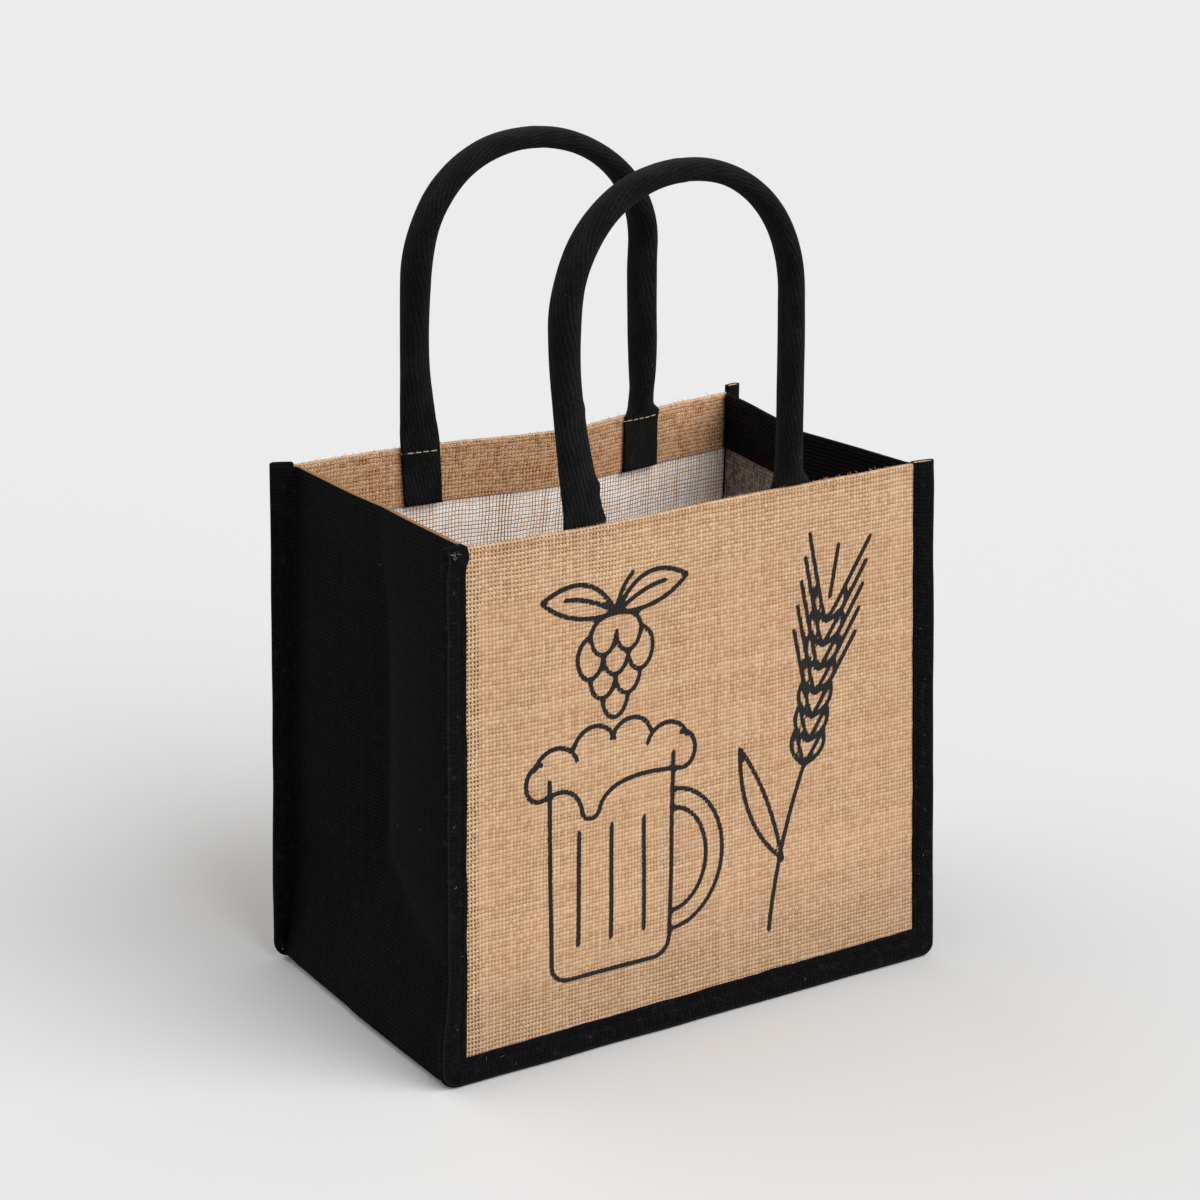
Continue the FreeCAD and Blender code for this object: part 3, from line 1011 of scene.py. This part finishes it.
def make_gusset():
    """Left side, base and right side in one closed shell of cloth."""
    reach = face - 0.0004
    columns = list(np.linspace(-reach, reach, 97))
    rows = strip_rows()
    grid = np.array([[strip_point(row, y) for y in columns] for row in rows])
    relax_folds(grid, rows, 3)
    normal = np.cross(np.gradient(grid, axis=0), np.gradient(grid, axis=1))
    normal /= np.linalg.norm(normal, axis=2, keepdims=True)
    centre = np.array((0, 0, rim / 2))
    facing = np.sum(normal * (centre - grid), axis=2, keepdims=True)
    normal *= np.sign(facing)
    step = np.linalg.norm(np.diff(grid[:, len(columns) // 2], axis=0), axis=1)
    run = np.concatenate(([0.0], np.cumsum(step)))
    layers = []
    for i, (part, share) in enumerate(rows):
        # Painted light along the front crease, kept in the same channel as the worn rim.
        wear_and_painted_light = [0.0 if part == "base" else 0.45 * fold_painted_light(y, rim * share) for y in columns]
        layers.append((grid[i], run[i], wear_and_painted_light, 0))
    up = np.array((0, 0, 1.0))

    def turn(i, angles, wear_and_painted_light):
        for angle in angles:
            moved = grid[i] + normal[i] * cloth * (1 - math.cos(angle)) + up * cloth * math.sin(angle)
            worn = wear_and_painted_light * smooth((math.sin(angle) - 0.35) / 0.2)
            layers.append((moved, run[i] + cloth * angle, [worn] * len(columns), 0))

    turn(len(rows) - 1, turn_angles, 0.0)
    for i in reversed(range(len(rows))):
        part, share = rows[i]
        hemmed = part != "base" and share >= strip_hem_end
        inner = grid[i] + normal[i] * cloth * (2 if hemmed else 1)
        layers.append((inner, run[i], [0.0] * len(columns), 0 if hemmed else 1))
    turn(0, turn_angles[::-1], 0.95)
    points = []
    cloth_at = []
    sections = []
    for places, along, worn, section in layers:
        for place, y, share in zip(places, columns, worn):
            points.append(place)
            cloth_at.append((y, along, share))
        sections += [section] * (len(columns) - 1)
    faces = grid_faces(len(layers), len(columns), wrap_rows=True)
    inner_from = len(rows) + len(turn_angles)
    inner_end = inner_from + len(rows)
    for ring in edge_rings(len(layers), len(columns)):
        ends = slit_faces(ring[:len(rows)], ring[inner_from:inner_end][::-1])
        ends.append(tuple(ring[len(rows) - 1:inner_from + 1]))
        ends.append(tuple(ring[inner_end - 1:] + ring[:1]))
        faces += ends
        sections += [0] * len(ends)
    materials = [black_cloth, film_inside_black]
    strip = add_piece("gusset_cloth", points, faces, materials, sections, cloth_at)
    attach(strip, "bag")
    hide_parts("gusset_strip")


# Bound seams

def seam_line(inset, samples):
    """Points down the left side, round the foot and up the right side, in the plane of the seam."""
    half = binding_half - inset
    foot = binding_foot + inset
    left = max(seam_corner - inset, sharpest_corner)
    right = max(right_corner - inset, sharpest_corner)
    line = [(-half, z) for z in np.linspace(binding_top, foot + left, samples)]
    line += arc(-half + left, foot + left, left, left, 180, 270, 9)[1:-1]
    line += [(x, foot) for x in np.linspace(-half + left, half - right, samples)]
    line += arc(half - right, foot + right, right, right, 270, 360, 9)[1:-1]
    line += [(half, z) for z in np.linspace(foot + right, binding_top, samples)]
    return [(x, z + foot_widening(x, z) * inset / seam_width) for x, z in line]


def foot_widening(x, z):
    """How much wider the tape is along the foot than up the sides: more towards the right."""
    rightward = (x / seam_half + 1) / 2
    return (foot_wider + foot_wider_right * rightward) * smooth((foot_wider_from - z) / foot_wider_run)


# Half of the binding's section: distance in from its outer edge and share of its half thickness
binding_profile = (
    (0.0125, 0.60),
    (0.0122, 0.95),
    (0.0112, 1.00),
    (0.0098, 0.86),
    (0.0084, 1.03),
    (0.0060, 1.07),
    (0.0036, 1.04),
    (0.0021, 0.98),
    (0.0013, 0.90),
    (0.0007, 0.74),
    (0.0002, 0.42),
)
rubbed_highlight_at = 8  # the point of the profile where the outer fold is rubbed pale and painted lighter as a highlight
seam_shake = 0.0005
edge_wave = 0.0005  # the inner edge waves slowly and frills finely
edge_frill = 0.0003
end_length = 0.010  # the shape of the top ends begins this far below the rim
end_run = 0.006
lump_swell = 0.6
lump_spill = 0.0016  # the folded end at the front left spills this far over the panel
back_end_rise = 0.0027  # the cut end at the back right stands above the rim, less at its outer edge


def seam_point(x, z, depth, back):
    """A point of a bound seam: its side fins turn outwards, its foot hangs straight."""
    side = -1 if x < 0 else 1
    out = abs(x) - seam_half
    upright = smooth((z - foot_loose) / (back_turn_run if back else front_turn_run))
    if out > 0:
        out *= 1 - (1 - fin_share[back][side]) * upright
    angle = fin_turn[back][side] * upright if out > -0.0001 else 0.0
    shake = seam_shake * ripple(z, x, 0.03, 40.0 + side + (5 if back else 0))
    along_x = seam_half + out * math.cos(angle) - depth * math.sin(angle) if angle else abs(x)
    away = seam_middle + depth * math.cos(angle) + max(out, 0.0) * math.sin(angle) + shake
    return Vector((side * along_x, away if back else -away, z))


def end_shape(z, back, side):
    """Thickness, inward spill and rise of a binding near its top, which is folded over on the left
    and cut on the right."""
    near = smooth((z - rim + end_length) / end_run)
    if side > 0:
        return 1 - 0.25 * near, 0.0, near * back_end_rise if back else 0.0
    if back:
        return 1 + 0.10 * near, 0.0, 0.0
    lump = near * (1 - 0.5 * smooth((z - rim + 0.003) / 0.003))
    return 1 + lump_swell * lump, lump_spill * lump, 0.0


def behind_strip(x, z):
    """1 in the lower corners, where the spread strip would leave the binding's inner half bare
    inside the bag."""
    corner_from = 0.84  # share of the half length
    corner_run = 0.06
    out = abs(x) - seam_half
    reach = fold_flare * (1 - z / crease_end)
    return smooth((reach - out) / 0.002) * smooth((abs(x) / seam_half - corner_from) / corner_run)


def make_binding(name, node, back):
    """Tape folded round the raw edges of a panel and the strip."""
    front = [(inset, seam_half_thick * share) for inset, share in binding_profile]
    ring = front + [(0.0, 0.0)] + [(inset, -depth) for inset, depth in reversed(front)]
    girth = lengths_along(ring)
    lines = [seam_line(inset, 90) for inset, _ in ring]
    stations = len(lines[0])
    clear_of_foot = 0.03
    clear_of_side = seam_half - 0.01
    points = []
    cloth_at = []
    for i, along in enumerate(lengths_along(lines[0])):
        for j, (inset, depth) in enumerate(ring):
            x, z = lines[j][i]
            side = -1 if x < 0 else 1
            thick, spill, rise = end_shape(z, back, side)
            inward = inset / seam_width
            wave = edge_wave * ripple(along, 0.0, 0.016, 55.0)
            wave += edge_frill * ripple(along, 0.0, 0.004, 56.0)
            if z > clear_of_foot:
                x -= side * (spill + wave) * inward
            elif abs(x) < clear_of_side:
                z += wave * inward
            z += rise * (0.6 + 0.4 * inward)
            crumple = 0.10 + 0.25 * spill / lump_spill
            puff = thick + crumple * ripple(along, inset, 0.010, 50.0)
            if depth < 0:
                puff *= 1 - 1.2 * behind_strip(x, z)
            points.append(seam_point(x, z, depth * puff, back))
            cloth_at.append((girth[j], along, 1.0 if j == rubbed_highlight_at else 0.0))
    faces = grid_faces(stations, len(ring), wrap_columns=True)
    sections = [0] * len(faces)
    folded_cap = ((0.90, 0.0004), (0.60, 0.0006), (0.25, 0.0007))
    cut_cap = ((0.80, -0.0004),)
    for first, cap, section in ((0, folded_cap, 0), ((stations - 1) * len(ring), cut_cap, 1)):
        rimmed = points[first:first + len(ring)]
        centre = sum(rimmed, Vector()) / len(ring)
        for scale, lift in cap:
            start = len(points)
            for p in rimmed:
                points.append(centre + (p - centre) * scale + Vector((0, 0, lift)))
                cloth_at.append((0.0, lift, 0.0))
            for j in range(len(ring)):
                beside = (j + 1) % len(ring)
                faces.append((first + j, first + beside, start + beside, start + j))
                sections.append(0)
            first = start
        faces.append(tuple(range(first, first + len(ring))))
        sections.append(section)
    binding = add_piece(name, points, faces, [tape_finish, raw_edge], sections, cloth_at)
    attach(binding, "bag")
    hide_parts(node)


# Handles

def leg_section(height, strap, flare):
    """Width, depth and squareness of the webbing at a height above the flex line.
    The flat strap closes to the full tube within the flare height."""
    shares = (-1.0, 0.05, 0.12, 0.18, 0.28, 0.45, 0.68, 1.0, 2.2)
    widths = [strap * part for part in (1.0, 1.02, 0.99, 0.92, 0.86, 0.77, 0.65, 0.56)] + [grip_width]
    depths = (strap_thick, 0.0027, 0.0040, 0.0062, 0.0080, 0.0104, 0.0126, 0.0142, grip_depth)
    squares = (6.0, 5.0, 3.6, 2.9, 2.5, 2.3, 2.2, 2.2, 2.2)
    share = (height + flare_start) / flare
    return [float(np.interp(share, shares, values)) for values in (widths, depths, squares)]


def handle_line(back, arch_x, arch_half, arch_height, skew, foot):
    """Centre line of a handle in its own plane: up the left leg, over the arch, down the right leg."""
    def leg(number, side):
        points = []
        x_foot = handle_feet[back][number]
        for h in np.arange(foot, arch_height, 0.0018):
            left = 1 - min(1.0, max(0.0, h / arch_height))
            aslant = tab_slant[back][number] * min(0.0, h)
            x_arch = arch_x + side * arch_half
            points.append((x_arch + (x_foot - x_arch) * left ** leg_bend + aslant, h))
        return points

    line = leg(0, -1)
    for angle in np.radians(np.linspace(180, 0, 96)):
        aside = math.copysign(abs(math.cos(angle)) ** (2 / arch_square), math.cos(angle))
        up = math.sin(angle) ** (2 / arch_square)
        line.append((arch_x + arch_half * aside - skew * up * up, arch_height + arch_rise * up))
    return line + leg(1, 1)[::-1]


def make_handle(name, body, back, arch_x, arch_half, drop, lean, skew, twists, flares):
    """Padded webbing tube with flat sewn ends, in one mesh."""
    pivot = pivots[body]
    arch_height = handle_top - drop - pivot.z - grip_width / 2 - arch_rise
    line = handle_line(back, arch_x, arch_half, arch_height, skew, tab_foot + tab_short - pivot.z)
    sides = 36
    neck = 0.02  # above this the webbing is a tube
    clear_of_panel = 0.075  # up to this it still follows the panel's bow
    lumpy = 0.05
    sway_size = 0.0015
    sway_seed = 84.0 if back else 80.0
    points = []
    cloth_at = []
    for i, ((x, h), along) in enumerate(zip(line, lengths_along(line))):
        before = line[max(i - 1, 0)]
        after = line[min(i + 1, len(line) - 1)]
        tangent = Vector((after[0] - before[0], after[1] - before[1])).normalized()
        leg = 0 if x < arch_x else 1
        width, depth, square = leg_section(h, strap_widths[back][leg], flares[leg])
        twist_run = max(0.6 * flares[leg], 0.02)
        twist = math.radians(twists[leg]) * smooth((h - 0.15 * flares[leg]) / twist_run)
        twist *= 1 - smooth((h - arch_height) / arch_rise)
        if h > neck:
            width *= 1 + lumpy * ripple(along, 0.0, 0.02, 60.0)
            depth *= 1 + lumpy * ripple(along, 0.0, 0.02, 70.0)
        z_here = pivot.z + h
        clear = smooth(h / clear_of_panel)
        sway = sway_size * ripple(along, 0.0, 0.06, sway_seed) * smooth((h - neck) / 0.05)
        centre_y = pivot.y - math.tan(lean) * max(h, 0.0) + sway
        girth = 0.0
        last = None
        for k in range(sides):
            angle = math.tau * k / sides
            c = math.cos(angle)
            s = math.sin(angle)
            across = math.copysign(abs(c) ** (2 / square), c) * width / 2
            deep = math.copysign(abs(s) ** (2 / square), s) * depth / 2
            turned = across * math.cos(twist) - deep * math.sin(twist)
            deep = across * math.sin(twist) + deep * math.cos(twist)
            for bump_leg, bump_height, bump_side, size in edge_bumps[back]:
                outward = bump_side if leg == 0 else -bump_side
                if leg == bump_leg and c * outward > 0:
                    near_bump = math.exp(-((h - bump_height) / bump_length) ** 2)
                    turned += outward * size * abs(c) * near_bump
            if last is not None:
                girth += math.dist(last, (across, deep))
            last = (across, deep)
            x_here = x + tangent.y * turned
            bow = panel_bow(x_here + (x - x_here) * clear, min(z_here, rim), back) * (1 - clear)
            y = centre_y + deep + (bow if back else -bow)
            points.append(Vector((x_here, y, z_here - tangent.x * turned * smooth(h / neck))))
            cloth_at.append((girth, along, 0.0))
    faces = tube_faces(len(line), sides)
    handle = add_piece(name, points, faces, [webbing_finish], None, cloth_at)
    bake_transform(handle)
    nodes = [body + suffix for suffix in ("_sleeve", "_core", "_left_tab", "_right_tab")]
    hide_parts(*nodes)


# Threads

def tube(path, radii, sides):
    """Points and faces of a thin tube along a path."""
    points = []
    for i, (p, radius) in enumerate(zip(path, radii)):
        tangent = (path[min(i + 1, len(path) - 1)] - path[max(i - 1, 0)]).normalized()
        aside = tangent.orthogonal().normalized()
        other = tangent.cross(aside)
        for k in range(sides):
            angle = math.tau * k / sides
            points.append(p + aside * radius * math.cos(angle) + other * radius * math.sin(angle))
    return points, tube_faces(len(path), sides)


def make_threads(name, tubes, material):
    """Many short tubes as one piece."""
    points = []
    faces = []
    for own_points, own_faces in tubes:
        start = len(points)
        points += own_points
        faces += [tuple(start + i for i in f) for f in own_faces]
    return add_piece(name, points, faces, [material])


def stitch(start, end, away, radius):
    """One stitch that rises out of the cloth and dips back in."""
    path = []
    radii = []
    shape = ((0, -1.0, 0.7), (0.12, 0.2, 0.9), (0.5, 0.55, 1.0), (0.88, 0.2, 0.9), (1, -1.0, 0.7))
    for share, lift, size in shape:
        path.append(start.lerp(end, share) + away * radius * lift)
        radii.append(radius * size)
    return tube(path, radii, 6)


def surface_depth(x, z, back, inside):
    """Y of the outside of the panel, or of the hem or the tab on its inside."""
    depth = face + panel_bow(x, z, back)
    if inside:
        depth -= 2 * cloth
        if over_tab(x, back):
            depth -= strap_thick
    return depth if back else -depth


def over_tab(x, back):
    """Whether a place along the rim lies on a handle's tab."""
    tabs = zip(handle_feet[back], strap_widths[back])
    return any(abs(x - foot) < strap / 2 for foot, strap in tabs)


def rim_stitches(back, on_tabs):
    """Row of stitches under the rim on both sides of the hem, on the tabs or between them."""
    tubes = []
    radius = 0.0003 if on_tabs else 0.0002
    end_gap = 0.0002
    margin = 0.002
    uneven = 0.00015
    pitch = rim_stitch_pitch
    for inside in (False, True):
        shift = 0.5 if inside else 0.0
        sign = (1 if back else -1) * (-1 if inside else 1)
        x = -hem_half + margin + shift * pitch
        while x + pitch < hem_half - margin:
            ends = []
            for place in (x + end_gap, x + pitch - end_gap):
                z = rim_height(place, back) - rim_stitch_drop + rng.uniform(-uneven, uneven)
                ends.append(Vector((place, surface_depth(place, z, back, inside), z)))
            if (inside and over_tab(x + pitch / 2, back)) == on_tabs:
                tubes.append(stitch(ends[0], ends[1], Vector((0, sign, 0)), radius))
            x += pitch
    return tubes


def between(start, end, share):
    """A place on the line between two places in a plane."""
    return (start[0] + (end[0] - start[0]) * share, start[1] + (end[1] - start[1]) * share)


def binding_stitches(back):
    """Row of stitches along the inner edge of a binding, on both faces."""
    groove = 0.0098
    groove_depth = 0.88  # share of the binding's half thickness
    radius = 0.0003
    line = seam_line(groove, 70)
    places = [line[0]]
    for point in line[1:]:
        while math.dist(places[-1], point) > binding_stitch_pitch:
            share = binding_stitch_pitch / math.dist(places[-1], point)
            places.append(between(places[-1], point, share))
    tubes = []
    for depth_sign in (-1, 1):
        depth = depth_sign * seam_half_thick * groove_depth
        away = Vector((0, depth_sign * (1 if back else -1), 0))
        for start, end in zip(places[1:], places[2:]):
            ends = [seam_point(*between(start, end, share), depth, back) for share in (0.1, 0.85)]
            if depth_sign > 0 or behind_strip(*start) == 0:
                tubes.append(stitch(ends[0], ends[1], away, radius))
    return tubes


def fibre(start, away, length, curl):
    """One loose fibre that lies near a surface."""
    radius = 0.00004
    clearance = 0.0002
    arch = 0.0004
    path = [start]
    heading = Vector((rng.uniform(-1, 1), rng.uniform(-1, 1), rng.uniform(-1, 1)))
    heading = (heading - away * heading.dot(away)).normalized()
    side = heading.cross(away)
    bend = rng.uniform(-curl, curl)
    steps = 6
    for i in range(1, steps + 1):
        heading = (heading + side * bend / steps).normalized()
        lift = math.sin(math.pi * i / steps) * arch
        path.append(start + heading * length * i / steps + away * (clearance + lift))
    return tube(path, [radius] * len(path), 3)


def stray_fibres():
    """Pale lint on the black cloth and binding, and a tuft on the folded end at the front left."""
    tubes = []
    shortest = 0.0008
    ahead = Vector((0, -1, 0))
    for _ in range(16):
        y = rng.uniform(-0.062, 0.062)
        z = rng.uniform(0.02, 0.225)
        side = rng.choice((-1, 1))
        start = Vector((side * (seam_half - side_inset(y, z, side) + 0.0003), y, z))
        tubes.append(fibre(start, Vector((side, 0, 0)), rng.uniform(shortest, 0.0026), 1.0))
    for _ in range(14):
        side = rng.choice((-1, 1))
        z = rng.uniform(0.01, 0.22)
        x = side * rng.uniform(seam_half + 0.002, binding_half - 0.002)
        start = seam_point(x, z, binding_out - seam_middle, False)
        tubes.append(fibre(start, ahead, rng.uniform(shortest, 0.0024), 1.0))
    for _ in range(5):
        x = rng.uniform(-seam_half, seam_half)
        start = Vector((x, -binding_out - 0.0002, rng.uniform(0.005, 0.011)))
        tubes.append(fibre(start, ahead, rng.uniform(shortest, 0.002), 1.0))
    for _ in range(18):
        x = -seam_half - rng.uniform(0.0065, 0.0095)
        z = rim - rng.uniform(0.0008, 0.0024)
        start = seam_point(x, z, 0.0032, False)
        tubes.append(fibre(start, Vector((-0.3, -0.9, 0.3)), rng.uniform(shortest, 0.0018), 2.0))
    return tubes


def hair(start, length, lift):
    """One short hair that stands up from a rim."""
    tip = Vector((rng.uniform(-1, 1), rng.uniform(-1, 1), rng.uniform(0.1, lift))) * length
    bend = start + tip * 0.5 + Vector((rng.uniform(-1, 1), 0, rng.uniform(-1, 1))) * 0.0003
    return tube([start, bend, start + tip], [0.00009, 0.00008, 0.00004], 3)


def rim_hairs():
    """Short jute hairs along the rims of the panels and of the left side."""
    tubes = []
    for back in (False, True):
        for _ in range(90 if back else 120):
            x = rng.uniform(-hem_half, hem_half)
            y = surface_depth(x, rim, back, False)
            start = Vector((x, y + (-0.001 if back else 0.001), rim_height(x, back)))
            tubes.append(hair(start, rng.uniform(0.0008, 0.0022), 0.9))
    for _ in range(60):
        y = rng.uniform(-0.066, 0.060)
        x = -seam_half + side_inset(y, rim, -1) + 2 * cloth
        tubes.append(hair(Vector((x, y, rim - 0.0008)), rng.uniform(0.0008, 0.0018), 0.5))
    return tubes


# The object

make_panel("front_panel_cloth", "front_panel", back=False, cell=0.0015)
make_panel("back_panel_cloth", "back_panel", back=True, cell=0.0025)
make_gusset()
make_binding("front_binding_tape", "front_binding", back=False)
make_binding("back_binding_tape", "back_binding", back=True)
make_handle(
    "front_handle_webbing", "front_handle", back=False,
    arch_x=-0.0085, arch_half=0.0562, drop=0.0, lean=0.0, skew=0.0,
    twists=(22, 2), flares=(0.085, 0.010),
)
make_handle(
    "back_handle_webbing", "back_handle", back=True,
    arch_x=0.0003, arch_half=0.0590, drop=0.006, lean=math.radians(7), skew=0.0065,
    twists=(28, -24), flares=(0.075, 0.006),
)

for group, tubes, material, slot in (
    ("front_rim_stitches", rim_stitches(back=False, on_tabs=False), jute_thread, "natural_jute"),
    ("back_rim_stitches", rim_stitches(back=True, on_tabs=False), jute_thread, "natural_jute"),
    ("front_tab_stitches", rim_stitches(back=False, on_tabs=True), beige_thread, "black_webbing"),
    ("back_tab_stitches", rim_stitches(back=True, on_tabs=True), beige_thread, "black_webbing"),
    ("front_binding_stitches", binding_stitches(back=False), black_thread, "black_binding"),
    ("back_binding_stitches", binding_stitches(back=True), black_thread, "black_binding"),
    ("stray_fibres", stray_fibres(), pale_fibre, "black_jute"),
    ("rim_hairs", rim_hairs(), beige_thread, "natural_jute"),
):
    threads = make_threads(group, tubes, material)
    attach(threads, "bag")

for node in ("divider_long", "divider_cross_left", "divider_cross_right"):
    board = frame["nodes"][node]
    board.data.materials.clear()
    board.data.materials.append(board_finish)


# Stage, light and camera

def add_floor(half):
    """A wide flat floor under the object."""
    mesh = bpy.data.meshes.new("floor")
    corners = [(-half, -half, 0), (half, -half, 0), (half, half, 0), (-half, half, 0)]
    mesh.from_pydata(corners, [], [(0, 1, 2, 3)])
    mesh.materials.append(stage_floor())
    floor = add_object("floor", mesh)


def add_sun(name, azimuth, elevation, strength, angle):
    """A soft wide light from a direction given as for the camera."""
    data = bpy.data.lights.new(name, "SUN")
    data.energy = strength
    data.angle = math.radians(angle)
    lamp = add_object(name, data)
    lamp.rotation_mode = "QUATERNION"
    lamp.rotation_quaternion = (-view_direction(azimuth, elevation)).to_track_quat("-Z", "Y")


def add_world(light, seen):
    """Even white light from all round, and the level at which the camera and reflections see it."""
    world = bpy.data.worlds.new("studio")
    bpy.context.scene.world = world
    world.use_nodes = True
    nodes = Nodes(world.node_tree)
    inputs = {"Value": nodes.looked_at(), "To Min": light, "To Max": seen}
    background = nodes.tree.nodes["Background"].inputs
    nodes.feed(background["Color"], (1, 1, 1))
    nodes.feed(background["Strength"], nodes.node("ShaderNodeMapRange", inputs))


def view_direction(azimuth, elevation):
    """Direction from the object towards a camera or lamp."""
    a = math.radians(azimuth)
    e = math.radians(elevation)
    return Vector((math.sin(a) * math.cos(e), -math.cos(a) * math.cos(e), math.sin(e)))


def add_camera(azimuth, elevation, distance, target, lens):
    """The scene's camera, looking at a target from a direction."""
    data = bpy.data.cameras.new("camera")
    data.lens = lens
    data.sensor_width = 36.0
    camera = add_object("camera", data)
    toward = view_direction(azimuth, elevation)
    camera.location = Vector(target) + toward * distance
    camera.rotation_mode = "QUATERNION"
    camera.rotation_quaternion = (-toward).to_track_quat("-Z", "Y")
    bpy.context.scene.camera = camera


add_floor(half=20.0)
add_sun("key_light", azimuth=22, elevation=38, strength=3.45, angle=60)
add_sun("side_light", azimuth=-140, elevation=40, strength=1.1, angle=70)
add_world(light=0.55, seen=0.83)
add_camera(azimuth=-32.96, elevation=18.13, distance=1.480, target=(-0.003, 0.0, 0.1731), lens=101.25)
bpy.context.scene.view_settings.view_transform = "Standard"
